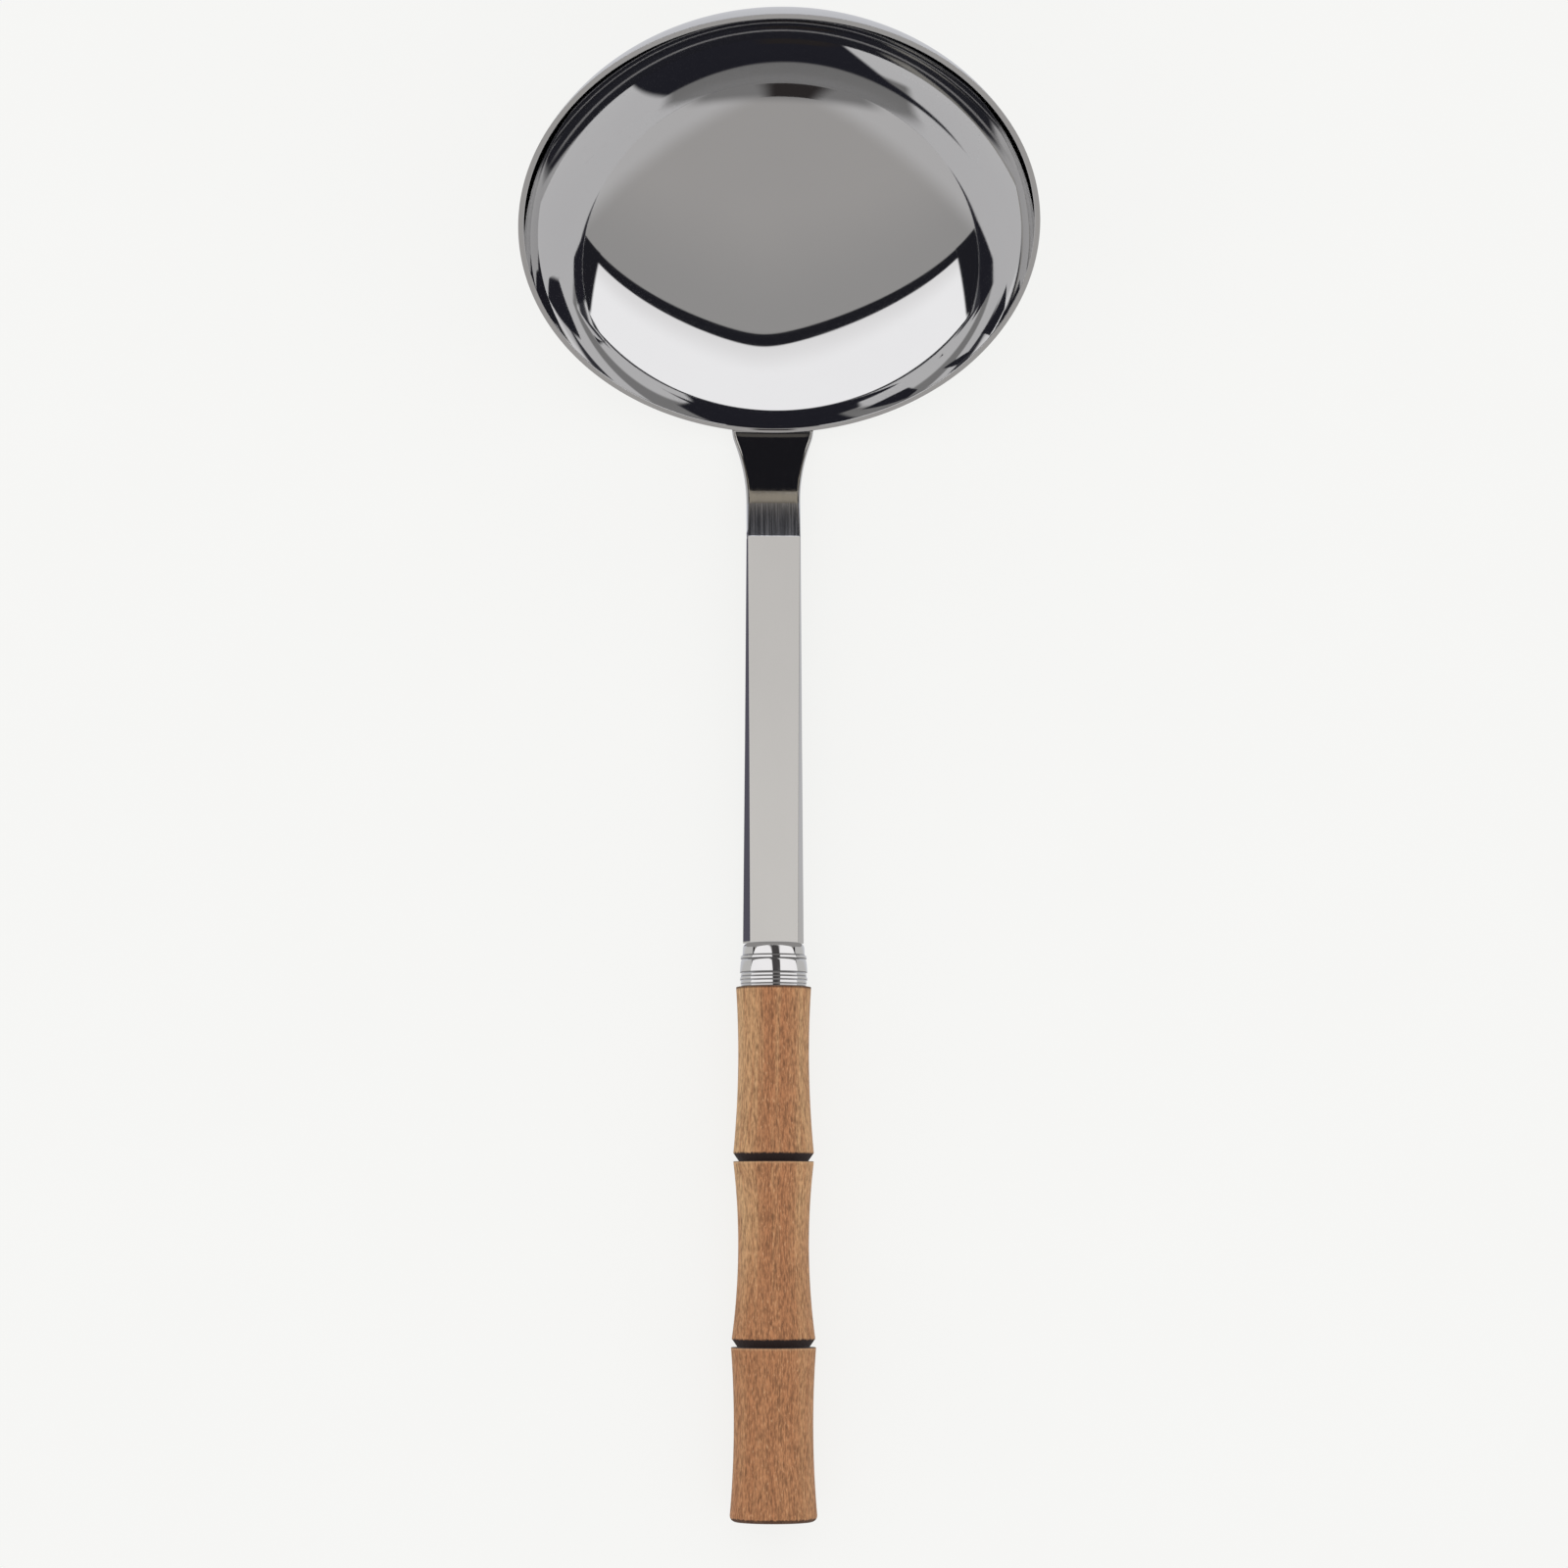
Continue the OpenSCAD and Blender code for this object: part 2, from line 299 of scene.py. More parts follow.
def under_bowl(x, y, gap_of):
    """Height of the lowest point over a place in plan where a shape round the bowl's axis begins."""
    low, high = -3.0, 14.0
    for halving in range(40):
        middle = (low + high) / 2
        point = Matrix.Rotation(-bowl_lean, 3, "X") @ (Vector((x, y, middle)) - floor_centre)
        if gap_of(math.hypot(point.x, point.y), point.z) > 0:
            low = middle
        else:
            high = middle
    return low


def gap_to_bowl(radius, height):
    """Clearance of a point from the bowl's outside, by its distance from and height on the bowl's axis."""
    if math.degrees(math.atan2(radius, -height)) > shoulder_from:
        return math.hypot(radius - shoulder_centre[0], height - shoulder_centre[1]) - shoulder_r
    return math.hypot(radius, height) - floor_r


def gap_to_palm_back(radius, height):
    """Clearance of a point from the palm's rounded back."""
    return math.hypot(radius - palm_back_ring[0], height - palm_back_ring[1]) - palm_back_radius


def half_width(y):
    """Half the width of the stem in plan."""
    if y > flare_end:
        return math.sqrt(max(0, palm_radius ** 2 - (y - palm_at) ** 2))
    if y > flare_at:
        return flare_half_width + flare_radius - math.sqrt(flare_radius ** 2 - (y - flare_at) ** 2)
    return between(shaft_half_widths, y)


def on_ring(x, y, gap_of):
    """Height under the bowl of a point on a ring, whose sides curl towards the bowl."""
    return under_bowl(x, y + flare_curl * x * x, gap_of)


def stem_ring(y, top_of, base_of, top_half, base_half, top_round, base_round):
    """One closed ring of points round the stem, from its left top edge over the top, right and base."""
    curl = flare_curl * min(1, max(0, (y - curl_from) / (rim_at - curl_from)))
    thickness = top_of(top_half) - base_of(base_half)
    top_round = min(top_round, 0.45 * thickness, 0.45 * top_half)
    base_round = min(base_round, 0.45 * thickness, 0.45 * base_half)
    ring = []
    for column in range(17):
        x = (top_half - top_round) * (column / 8 - 1)
        ring.append((x, top_of(x)))
    for step in range(1, 7):
        angle = math.radians(90 - 80 * step / 6)
        edge = top_half - top_round
        ring.append((edge + top_round * math.cos(angle), top_of(edge) - top_round * (1 - math.sin(angle))))
    for step in range(6):
        angle = math.radians(-10 - 80 * step / 6)
        edge = base_half - base_round
        ring.append((edge + base_round * math.cos(angle), base_of(edge) + base_round * (1 + math.sin(angle))))
    for column in range(17):
        x = (base_half - base_round) * (1 - column / 8)
        ring.append((x, base_of(x)))
    for x, z in ring[28:22:-1] + ring[22:16:-1]:
        ring.append((-x, z))
    return [(x * MM, (y + curl * x * x) * MM, z * MM) for x, z in ring]


rings = []
for y, half in ((stem_start - tang_length, 2.75), (stem_start - tang_length + 0.5, 2.78), (stem_start, 3.5)):
    rings.append(stem_ring(
        y, lambda x: axis_height + tang_half_height, lambda x: axis_height - tang_half_height,
        half, half, tang_edge, tang_edge))
places = [stem_start + 0.02 * step for step in range(2)]
places += [stem_start + 0.5 + 3.8 * step for step in range(21)]
places += [bend_at + step for step in (-0.4, -0.25, -0.15, -0.08, 0, 0.08, 0.15, 0.25)]
places += [bend_at + 0.5 + 0.4 * step for step in range(52)]
places += [70.8, 70.95]
for y in places:
    top = between(shaft_tops, y)
    fall = math.radians(between([(stem_start, shaft_fall)] + neck_fall, y))
    thick = between([(stem_start, root_thickness), (bend_at, neck_thickness)], y) / math.cos(fall)
    base = top - thick
    into_palm = min(1, max(0, (y - palm_back_from + 0.4) / 0.8))

    def base_of(x):
        if not into_palm:
            return base
        return base * (1 - into_palm) + into_palm * on_ring(x, y, gap_to_palm_back)

    rings.append(stem_ring(y, lambda x: top, base_of, half_width(y) - between(side_draft, y), half_width(y),
                           between(top_edges, y), between(base_edges, y)))
turn_from = math.degrees(math.asin((rim_at + 0.02 - palm_at) / palm_radius))
for step in range(palm_steps + 1):
    turned = math.radians(turn_from + (palm_turn_to - turn_from) * step / palm_steps)
    y = palm_at + palm_radius * math.sin(turned)
    meeting = min(1, max(0, (y - rim_at) / seat_run))
    leaving_neck = (rim_height - seat_fall * (y - rim_at)) * (1 - meeting)

    def seat_of(x):
        return leaving_neck + meeting * (on_ring(x, y, gap_to_bowl) - weld_gap)

    def base_of(x):
        return min(seat_of(x) - thinnest_palm, on_ring(x, y, gap_to_palm_back))

    rings.append(stem_ring(y, seat_of, base_of, half_width(y) - 0.05, half_width(y), 0.1, 0.3))
skin = bmesh.new()
lofted = [[skin.verts.new(point) for point in ring] for ring in rings]
for ring, following in zip(lofted, lofted[1:]):
    for spot in range(len(ring)):
        ahead = (spot + 1) % len(ring)
        skin.faces.new((ring[spot], ring[ahead], following[ahead], following[spot]))
skin.faces.new(lofted[0])
skin.faces.new(lofted[-1])
bmesh.ops.recalc_face_normals(skin, faces=skin.faces)
stem_mesh = bpy.data.meshes.new("forged_stem")
skin.to_mesh(stem_mesh)
skin.free()
stem_mesh.polygons.foreach_set("use_smooth", [True] * len(stem_mesh.polygons))
stem_mesh.set_sharp_from_angle(angle=math.radians(45))
forged_stem = bpy.data.objects.new("forged_stem", stem_mesh)
bpy.context.scene.collection.objects.link(forged_stem)
flats = forged_stem.modifiers.new("flats_stay_flat", "WEIGHTED_NORMAL")
flats.keep_sharp = True
flats.weight = 100

stem_steel, tree, shader, place = finish_of("polished_stem_steel_brushed_at_neck")
along_stem = parted(tree, place)[1]
brush_lines = mottled(tree, place, (5200, 90, 150), 4)
cloudiness = mottled(tree, place, (90, 40, 90), 3)
at_bend = product(tree, ramped(tree, along_stem, 0.04955, 0.04965),
                  ramped(tree, along_stem, 0.0562, 0.0566, 1, 0))
pale_end = blended(tree, cloudiness, (0.55, 0.536, 0.511), (0.59, 0.576, 0.549))
dark_end = blended(tree, cloudiness, (0.46, 0.448, 0.427), (0.495, 0.482, 0.46))
plain = blended(tree, ramped(tree, along_stem, -0.029, 0.05), pale_end, dark_end)
brushed = blended(tree, ramped(tree, brush_lines, 0.36, 0.64), (0.37, 0.375, 0.4), (0.65, 0.655, 0.69))
tree.links.new(blended(tree, at_bend, plain, brushed), shader.inputs["Base Color"])
even = ramped(tree, brush_lines, 0.3, 0.75, 0.05, 0.09)
tree.links.new(total(tree, even, product(tree, at_bend, 0.045)), shader.inputs["Roughness"])
shader.inputs["Metallic"].default_value = 1
roughened(tree, shader, brush_lines, 0.00001, 0.012)
forged_stem.data.materials.append(stem_steel)
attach(forged_stem, "root")
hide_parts("stem")
forged_stem.visible_glossy = False


# Ferrule: a polished steel cap turned with a domed end, a broad bell-shaped band and small beads,
# pushed over the tenon on the wood. The grooves between the bands are darkened with painted shade.
ferrule_at = -37.7
ferrule_length = 8.5
ferrule_bands = (
    (0.05, 0.55, 6.26, 0.2), (0.55, 1.3, 6.34, 0.2), (1.3, 1.99, 6.46, 0.22), (1.99, 2.72, 6.3, 0.3),
    (2.72, 5.33, 6.46, 0.28), (5.33, 6.04, 6.33, 0.2),
)
band_lip = 0.05
foot_radius = 5.9
cap_from = 6.06
cap_groove = 5.97
cap_flat = 4.3
cap_radius = 5.9
cap_round = 1.1
tenon_hole = 5.25
end_wall = 1.6
slot_half = (3.55, 1.55)
# Painted shade: dark lines in the steel's colour at the grooves between the bands, each with its place and
# strength.
painted_groove_shade_lines = (
    (0.1, 0.6), (0.55, 0.65), (1.3, 0.6), (1.99, 0.7), (2.72, 0.93), (5.33, 0.93), (cap_from, 0.65),
)
painted_groove_shade = (0.05, 0.048, 0.05)


def slot_reach(angle):
    """Distance from the axis to the side of the tang's slot in a direction."""
    to_side = slot_half[0] / max(1e-6, abs(math.cos(angle)))
    to_top = slot_half[1] / max(1e-6, abs(math.sin(angle)))
    return min(to_side, to_top)


ferrule_section = [(tenon_hole, 0.0), (foot_radius, 0.0)]
for start, end, crest, shoulder in ferrule_bands:
    ferrule_section += [(crest - 0.12, start + 0.01), (crest - 0.03, start + 0.015), (crest, start + band_lip)]
    run = end - shoulder - (start + band_lip)
    for step in range(1, 13):
        along = run * step / 12
        lean = 0.02 + 0.065 * min(1, run) * step / 12
        ferrule_section.append((crest - along * lean, start + band_lip + along))
    foot = ferrule_section[-1][0] - shoulder * 0.93
    ferrule_section += [(foot, end), (foot - 0.03, end + 0.01)]
ferrule_section.append((cap_groove, cap_from + 0.03))
for step in range(13):
    angle = math.radians(4 + 86 * step / 12)
    ferrule_section.append((cap_radius - cap_round + cap_round * math.cos(angle),
                            ferrule_length - cap_round + cap_round * math.sin(angle)))
ferrule_section += [(cap_flat, ferrule_length), (slot_reach, ferrule_length)]
ferrule_section += [(slot_reach, ferrule_length - end_wall), (tenon_hole, ferrule_length - end_wall)]
ferrule_section.append((tenon_hole, 0.0))
beaded_ferrule = spun("beaded_ferrule", ferrule_section, 160)
skin = bmesh.new()
skin.from_mesh(beaded_ferrule.data)
bmesh.ops.remove_doubles(skin, verts=skin.verts, dist=1e-7)
skin.to_mesh(beaded_ferrule.data)
skin.free()
along_handle = Matrix.Rotation(-math.pi / 2, 4, "X")
ferrule_stand = Matrix.Translation(Vector((0, ferrule_at, axis_height)) * MM)
beaded_ferrule.data.transform(ferrule_stand @ along_handle)

ferrule_steel, tree, shader, place = finish_of("polished_ferrule_steel")
lathe_lines = mottled(tree, place, (60, 9000, 60), 2)
cloudiness = mottled(tree, place, (220, 220, 220), 2)
along_ferrule = parted(tree, place)[1]
polish_and_painted_groove_shade = blended(tree, cloudiness, (0.74, 0.74, 0.74), (0.80, 0.80, 0.795))
# Paints each groove's shade into the steel's colour as a dark line.
for line_at, strength in painted_groove_shade_lines:
    off_line = worked(tree, "ABSOLUTE", worked(tree, "SUBTRACT", along_ferrule, (ferrule_at + line_at) * MM))
    polish_and_painted_groove_shade = blended(tree, ramped(tree, off_line, 0.00019, 0.00008, 0, strength), polish_and_painted_groove_shade, painted_groove_shade)
tree.links.new(polish_and_painted_groove_shade, shader.inputs["Base Color"])
tree.links.new(ramped(tree, lathe_lines, 0.3, 0.75, 0.03, 0.07), shader.inputs["Roughness"])
shader.inputs["Metallic"].default_value = 1
roughened(tree, shader, lathe_lines, 0.00001, 0.05)
beaded_ferrule.data.materials.append(ferrule_steel)
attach(beaded_ferrule, "root")
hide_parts("ferrule")
beaded_ferrule.visible_glossy = False


# Handle: one piece of fine-grained hardwood turned to three waisted segments, oiled and left matt.
# The two turned grooves are scorched, the wood's end at the ferrule and the butt's rounded edge are darkened
# with painted shade, and a tenon with the tang's bore goes into the ferrule.
butt_at = -139.0
segments = (
    (0.0, 32.8, (8.3, 7.55, 8.1)), (32.8, 68.0, (7.95, 6.75, 7.7)), (68.0, 101.3, (7.7, 6.8, 7.2)),
)
butt_radius = segments[0][2][0]
wood_end = segments[-1][1]
butt_flat = 5.0
groove_length = 1.6
groove_depth = 1.1
butt_round = 1.2
tenon_radius = 5.2
tenon_end = 108.15
bore_radius = 3.9
bore_from = 50.15


def waisted(start, end, radii, steps=48):
    """Points of a hollow arc between two heights, by the radii at its lower end, waist and upper end."""
    length = end - start
    lean = radii[2] - radii[0]
    sag = (radii[0] + radii[2]) / 2 - radii[1]
    half_chord = math.hypot(length, lean) / 2
    sweep = (half_chord ** 2 + sag ** 2) / (2 * sag)
    along = Vector((lean, length)) / (2 * half_chord)
    out = Vector((length, -lean)) / (2 * half_chord)
    centre = Vector(((radii[0] + radii[2]) / 2, (start + end) / 2)) + out * (sweep - sag)
    points = []
    for step in range(steps + 1):
        angle = math.asin(half_chord / sweep) * (2 * step / steps - 1)
        points.append(tuple(centre + sweep * (math.sin(angle) * along - math.cos(angle) * out)))
    return points


handle_section = [(0, 0.0), (butt_flat, 0.0)]
for step in range(9):
    angle = math.radians(90 * step / 8)
    handle_section.append((butt_radius - butt_round + butt_round * math.sin(angle),
                           butt_round * (1 - math.cos(angle))))
for number, (start, end, radii) in enumerate(segments):
    begin = start + (groove_length if number else butt_round)
    outline = waisted(begin, end, radii)
    foot = (tenon_radius, end)
    if number:
        foot_before = (radii[0] - groove_depth, start)
        handle_section.append(foot_before)
        handle_section += eased(foot_before, outline[0], outline[1], 0.1, 3)
    if number < 2:
        foot = (segments[number + 1][2][0] - groove_depth, end)
    handle_section += outline[1:-1] + eased(outline[-2], outline[-1], foot, 0.14, 3)
handle_section += [(tenon_radius, wood_end), (tenon_radius, tenon_end), (bore_radius, tenon_end)]
handle_section += [(bore_radius, bore_from), (0, bore_from)]
turned_handle = spun("turned_handle", handle_section, 160)
handle_stand = Matrix.Translation(Vector((0, butt_at, axis_height)) * MM)
turned_handle.data.transform(handle_stand @ along_handle)

handle_wood, tree, shader, place = finish_of("oiled_handle_wood_with_scorched_grooves")
across_wood, along_wood, above_table = parted(tree, place)
broad_streaks = mottled(tree, place, (380, 8, 380), 3)
narrow_streaks = mottled(tree, place, (1100, 40, 1100), 4)
fibres = mottled(tree, place, (3000, 420, 3000), 4)
flecks = mottled(tree, place, (3700, 1000, 3700), 3)
tan = (0.447, 0.24, 0.112)
straw = (0.54, 0.337, 0.168)
pale_fleck = (0.6, 0.39, 0.22)
russet = (0.357, 0.152, 0.065)
pore = (0.17, 0.075, 0.033)
char = (0.018, 0.008, 0.007)
towards_butt = ramped(tree, along_wood, -0.066, -0.118)
wood = blended(tree, ramped(tree, broad_streaks, 0.4, 0.62), tan, russet)
# Painted light: the handle's left side is lightened towards straw, as if lit from the left, fading towards the
# butt.
painted_light_left = product(tree, ramped(tree, across_wood, -0.001, -0.006, 0, 0.6),
                    ramped(tree, towards_butt, 0, 1, 1, 0.15))
wood = blended(tree, painted_light_left, wood, straw)
wood = blended(tree, ramped(tree, across_wood, 0.0012, 0.0066, 0, 0.42), wood, straw)
wood = blended(tree, ramped(tree, towards_butt, 0, 1, 0, 0.55), wood, russet)
heart = ramped(tree, worked(tree, "ABSOLUTE", across_wood), 0.005, 0.001)
wood = blended(tree, product(tree, heart, ramped(tree, towards_butt, 0, 1, 0, 0.55)), wood, russet)
wood = blended(tree, ramped(tree, narrow_streaks, 0.48, 0.68, 0, 0.5), wood, russet)
grain = total(tree, product(tree, fibres, 0.55), product(tree, flecks, 0.45))
toned = added(tree, "ShaderNodeVectorMath", operation="SCALE")
fed(tree, toned, Vector=wood, Scale=ramped(tree, grain, 0.36, 0.64, 1.32, 0.66))
wood = toned.outputs[0]
wood = blended(tree, ramped(tree, fibres, 0.58, 0.72, 0, 0.6), wood, pore)
wood = blended(tree, ramped(tree, flecks, 0.4, 0.28, 0, 0.4), wood, pale_fleck)
ragged = product(tree, mottled(tree, place, (2500, 400, 2500), 2), 0.0007)
# Painted shade with a dark wood edge: the wood's end at the ferrule is darkened where the joint with the
# ferrule is in shade.
scorch_and_painted_shade = ramped(tree, along_wood, (butt_at + 100.7) * MM, (butt_at + 101.1) * MM, 0, 0.75)
reach = total(tree, along_wood, ragged)
# The butt's end face is dark end grain, and its rounded edge is darker still with painted shade.
end_grain_and_edge_shade = ramped(tree, reach, (butt_at + 1.25) * MM, (butt_at + 0.9) * MM, 0, 0.8)
from_axis = distance(tree, across_wood, worked(tree, "SUBTRACT", above_table, axis_height * MM))
end_grain_and_edge_shade = product(tree, end_grain_and_edge_shade, ramped(tree, from_axis, 0.0062, 0.0071, 0.45, 1))
scorch_and_painted_shade = total(tree, scorch_and_painted_shade, end_grain_and_edge_shade)
for start, *_ in segments[1:]:
    groove = butt_at + start
    shoulder = product(tree, ramped(tree, along_wood, (groove - 0.6) * MM, (groove - 0.25) * MM, 0, 0.3),
                       ramped(tree, along_wood, (groove + 0.01) * MM, (groove + 0.02) * MM, 1, 0))
    wood = blended(tree, shoulder, wood, pale_fleck)
    above = ramped(tree, along_wood, (groove - 0.16) * MM, (groove - 0.04) * MM)
    below = ramped(tree, reach, (groove + 1.72) * MM, (groove + 2.17) * MM, 1, 0)
    scorch_and_painted_shade = total(tree, scorch_and_painted_shade, product(tree, above, below))
tree.links.new(blended(tree, scorch_and_painted_shade, wood, char), shader.inputs["Base Color"])
tree.links.new(ramped(tree, fibres, 0.3, 0.75, 0.5, 0.7), shader.inputs["Roughness"])
shader.inputs["Specular IOR Level"].default_value = 0.3
roughened(tree, shader, worked(tree, "SUBTRACT", 1.0, grain), 0.00008, 0.4)
turned_handle.data.materials.append(handle_wood)
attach(turned_handle, "root")
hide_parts("handle")
turned_handle.visible_glossy = False


# Tang adhesive: cured epoxy, poured into the bore round the tang. It is hidden inside the handle,
# so its CAD solid stays and only gets its finish.
cured_epoxy, tree, shader, place = finish_of("cured_tang_epoxy")
clouds = mottled(tree, place, (300, 300, 300), 3)
tree.links.new(blended(tree, clouds, (0.62, 0.5, 0.28), (0.72, 0.62, 0.4)), shader.inputs["Base Color"])
tree.links.new(ramped(tree, clouds, 0.3, 0.7, 0.3, 0.45), shader.inputs["Roughness"])
roughened(tree, shader, clouds, 0.0001, 0.2)
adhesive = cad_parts["tang_adhesive"]
adhesive.data.materials.clear()
adhesive.data.materials.append(cured_epoxy)
adhesive.visible_glossy = False


# Table: a plain pale table top that the ladle lies on. It is lit from inside as a light table is,
# so that it stays evenly pale with only a faint shadow.
table_mesh = bpy.data.meshes.new("pale_table")
table_mesh.from_pydata([(-4, -4, 0), (4, -4, 0), (4, 4, 0), (-4, 4, 0)], [], [(0, 1, 2, 3)])
pale_table = bpy.data.objects.new("pale_table", table_mesh)
bpy.context.scene.collection.objects.link(pale_table)
table_top, tree, shader, place = finish_of("pale_table_top")
grain = mottled(tree, place, (30, 30, 30), 2)
tree.links.new(blended(tree, grain, (0.115, 0.115, 0.113), (0.125, 0.125, 0.123)), shader.inputs["Base Color"])
shader.inputs["Roughness"].default_value = 1
shader.inputs["Specular IOR Level"].default_value = 0
shader.inputs["Emission Color"].default_value = (1, 1, 0.985, 1)
shader.inputs["Emission Strength"].default_value = 0.805
table_mesh.materials.append(table_top)
pale_table.visible_glossy = False


# Cards: small glowing cards with clear backs that only the polished steel sees; they are painted reflections.
# Dark ones paint the neck in the bowl's mirror and the bowl in the neck's, and paint dark reflections on the
# bowl's edge and the stem's left side; a pale one paints a glint under the rim; a grey and a white one with a
# dark strip before it paint reflections over the ferrule's end.
card_black = (0.022, 0.022, 0.03)


def reflection_painting_card(name, corners, glow, soft=0.0, from_bounce=0.5, reach=1.0):
    """A glowing card that paints a reflection: only reflections show it, from its front, after so many bounces
    and within reach.
    """
    low, low_end, high_end, high = [Vector(corner) * MM for corner in corners]
    points = []
    shares = (0, soft, 1 - soft, 1) if soft else (0, 1)
    for share in shares:
        points += [low.lerp(low_end, share), high.lerp(high_end, share)]
    mesh = bpy.data.meshes.new(name)
    strips = [(first, first + 2, first + 3, first + 1) for first in range(0, len(points) - 2, 2)]
    mesh.from_pydata(points, [], strips)
    cover = mesh.attributes.new("cover", "FLOAT", "POINT")
    cover.data.foreach_set("value", [0, 0, 1, 1, 1, 1, 0, 0] if soft else [1, 1, 1, 1])
    card = bpy.data.objects.new(name, mesh)
    bpy.context.scene.collection.objects.link(card)
    painted_reflection_material = bpy.data.materials.new(name)
    painted_reflection_material.use_nodes = True
    tree = painted_reflection_material.node_tree
    tree.nodes.remove(tree.nodes["Principled BSDF"])
    face = added(tree, "ShaderNodeEmission")
    fed(tree, face, Color=(*glow, 1), Strength=1.0)
    clear = added(tree, "ShaderNodeBsdfTransparent")
    front = worked(tree, "SUBTRACT", 1.0, added(tree, "ShaderNodeNewGeometry").outputs["Backfacing"])
    path = added(tree, "ShaderNodeLightPath")
    late = worked(tree, "GREATER_THAN", path.outputs["Glossy Depth"], from_bounce)
    near = worked(tree, "LESS_THAN", path.outputs["Ray Length"], reach)
    covered = ramped(tree, added(tree, "ShaderNodeAttribute", attribute_name="cover").outputs["Fac"], 0, 1)
    shown = added(tree, "ShaderNodeMixShader")
    seen = product(tree, front, late, product(tree, covered, near))
    tree.links.new(seen, shown.inputs[0])
    tree.links.new(clear.outputs[0], shown.inputs[1])
    tree.links.new(face.outputs[0], shown.inputs[2])
    tree.links.new(shown.outputs[0], tree.nodes["Material Output"].inputs["Surface"])
    mesh.materials.append(painted_reflection_material)
    card.visible_camera = False
    card.visible_diffuse = False
    card.visible_shadow = False


def upright(half, y, low, high):
    """Corners of a card that stands across the ladle."""
    return (-half, y, low), (half, y, low), (half, y, high), (-half, y, high)


# Painted reflection: a dark card paints the neck into the bowl's mirror, since the stem itself is hidden from
# reflections.
neck_outline = ((-5.4, 58.2, 7.4), (5.9, 58.2, 7.4), (5.4, 69.3, 3.6), (-5.0, 69.3, 3.6))
reflection_painting_card("neck_card", neck_outline, (0.03, 0.026, 0.026), 0.28)
reflection_painting_card("bowl_card", upright(8.6, 73, 4.3, 20.3), (0.016, 0.016, 0.021))
# Painted glint: a pale line just under the bowl's rim.
reflection_painting_card("glint_card", upright(8.6, 72.95, 5.9, 6.8), (0.12, 0.115, 0.11), 0.15)
for name, outline in (
    ("low_rim_card", ((13, 69), (-24, 69), (-12.5, 82), (20, 82))),
    ("high_rim_card", ((20, 82), (-12.5, 82), (-19, 96), (13, 96))),
    ("drop_rim_card", ((-15.5, 82.3), (-27, 72.5), (-31, 80), (-30, 90))),
    ("end_rim_card", ((-35, 62.5), (-39, 48.8), (-44.4, 50), (-45, 70))),
):
    reflection_painting_card(name, [(x, 100, z) for x, z in outline], card_black, 0.06, 1.5)
for name, outline in (
    ("left_end_card", ((29.5, 78.6), (33.2, 90.5), (36.3, 87.5), (35.2, 78.8))),
    ("left_streak_card", ((40, 80), (39, 97.5), (75, 88), (52, 80.5))),
    ("right_end_card", ((-37.5, 75.2), (-37.5, 91), (-32.5, 86), (-28.8, 75.2))),
    ("right_streak_card", ((-50, 82), (-66, 91.5), (-53, 99.5), (-39.5, 95.5))),
):
    reflection_painting_card(name, [(x, y, 45) for x, y in outline], card_black, 0.1, 1.5)
# Painted dark reflection along the stem's left side.
side_outline = ((-8, -28.6, 0.2), (-6.4, 51.5, 0.2), (-6.4, 51.5, 9), (-8, -28.6, 11))
reflection_painting_card("side_card", side_outline, (0.125, 0.12, 0.16), reach=0.009)
# Painted reflections over the ferrule's end: a grey and a white glowing card, with a dark strip before them.
reflection_painting_card("cap_card", upright(9, -29.25, 9, 14.8), (0.3, 0.29, 0.285))
reflection_painting_card("ferrule_card", upright(130, -29.3, 14.8, 125), (1.06, 1.04, 1.05))
strip_outline = ((-2.1, -29.4, 14.8), (1.7, -29.4, 14.8), (80, -29.4, 215), (-66, -29.4, 215))
reflection_painting_card("ferrule_strip", strip_outline, (0.07, 0.065, 0.066), 0.36)


# Studio: even soft white for the wood and the table. The polished steel sees the studio's panels: a
# grey half on the handle's side, a dark V-shaped gap overhead, a white panel and a dark end wall.
# Light that the bowl has reflected twice or three times sees simpler panels of its own.
studio = bpy.data.worlds.new("soft_studio")
bpy.context.scene.world = studio
studio.use_nodes = True
tree = studio.node_tree
backdrop = tree.nodes["Background"]
east, north, up = parted(tree, added(tree, "ShaderNodeTexCoord").outputs["Generated"])
spread = worked(tree, "MAXIMUM", total(tree, up, 1.0), 0.02)
side = worked(tree, "DIVIDE", east, spread)
ahead = worked(tree, "DIVIDE", north, spread)
off_side = worked(tree, "ABSOLUTE", side)
turn = worked(tree, "SUBTRACT", side, 0.05)
turn_squared = product(tree, turn, turn)
bow = product(tree, worked(tree, "SQRT", total(tree, turn_squared, 0.0064)), 0.25)
bow = total(tree, bow, product(tree, turn_squared, 0.12))
gap = total(tree, ahead, worked(tree, "SUBTRACT", bow, 0.017))
end_wall_edge = total(tree, ahead, product(tree, side, side, 0.45))
dark = (0.0155, 0.0155, 0.02)
grey_half = blended(tree, ramped(tree, gap, -0.55, -0.05), (0.408, 0.395, 0.385), (0.357, 0.35, 0.344))
table_glow = worked(tree, "SUBTRACT", off_side, ahead)
grey_half = blended(tree, ramped(tree, table_glow, 1.4, 1.74), grey_half, (0.53, 0.52, 0.52))
white_panel = blended(tree, ramped(tree, gap, 0.02, 0.13), (0.92, 0.91, 0.915), (1.08, 1.075, 1.085))
brown_edge = ramped(tree, end_wall_edge, 0.398, 0.404)
end_wall_look = blended(tree, brown_edge, (0.045, 0.045, 0.05), (0.5, 0.455, 0.39))
end_wall_look = blended(tree, ramped(tree, end_wall_edge, 0.43, 0.445), end_wall_look, dark)
panels = blended(tree, ramped(tree, gap, -0.025, -0.019), grey_half, dark)
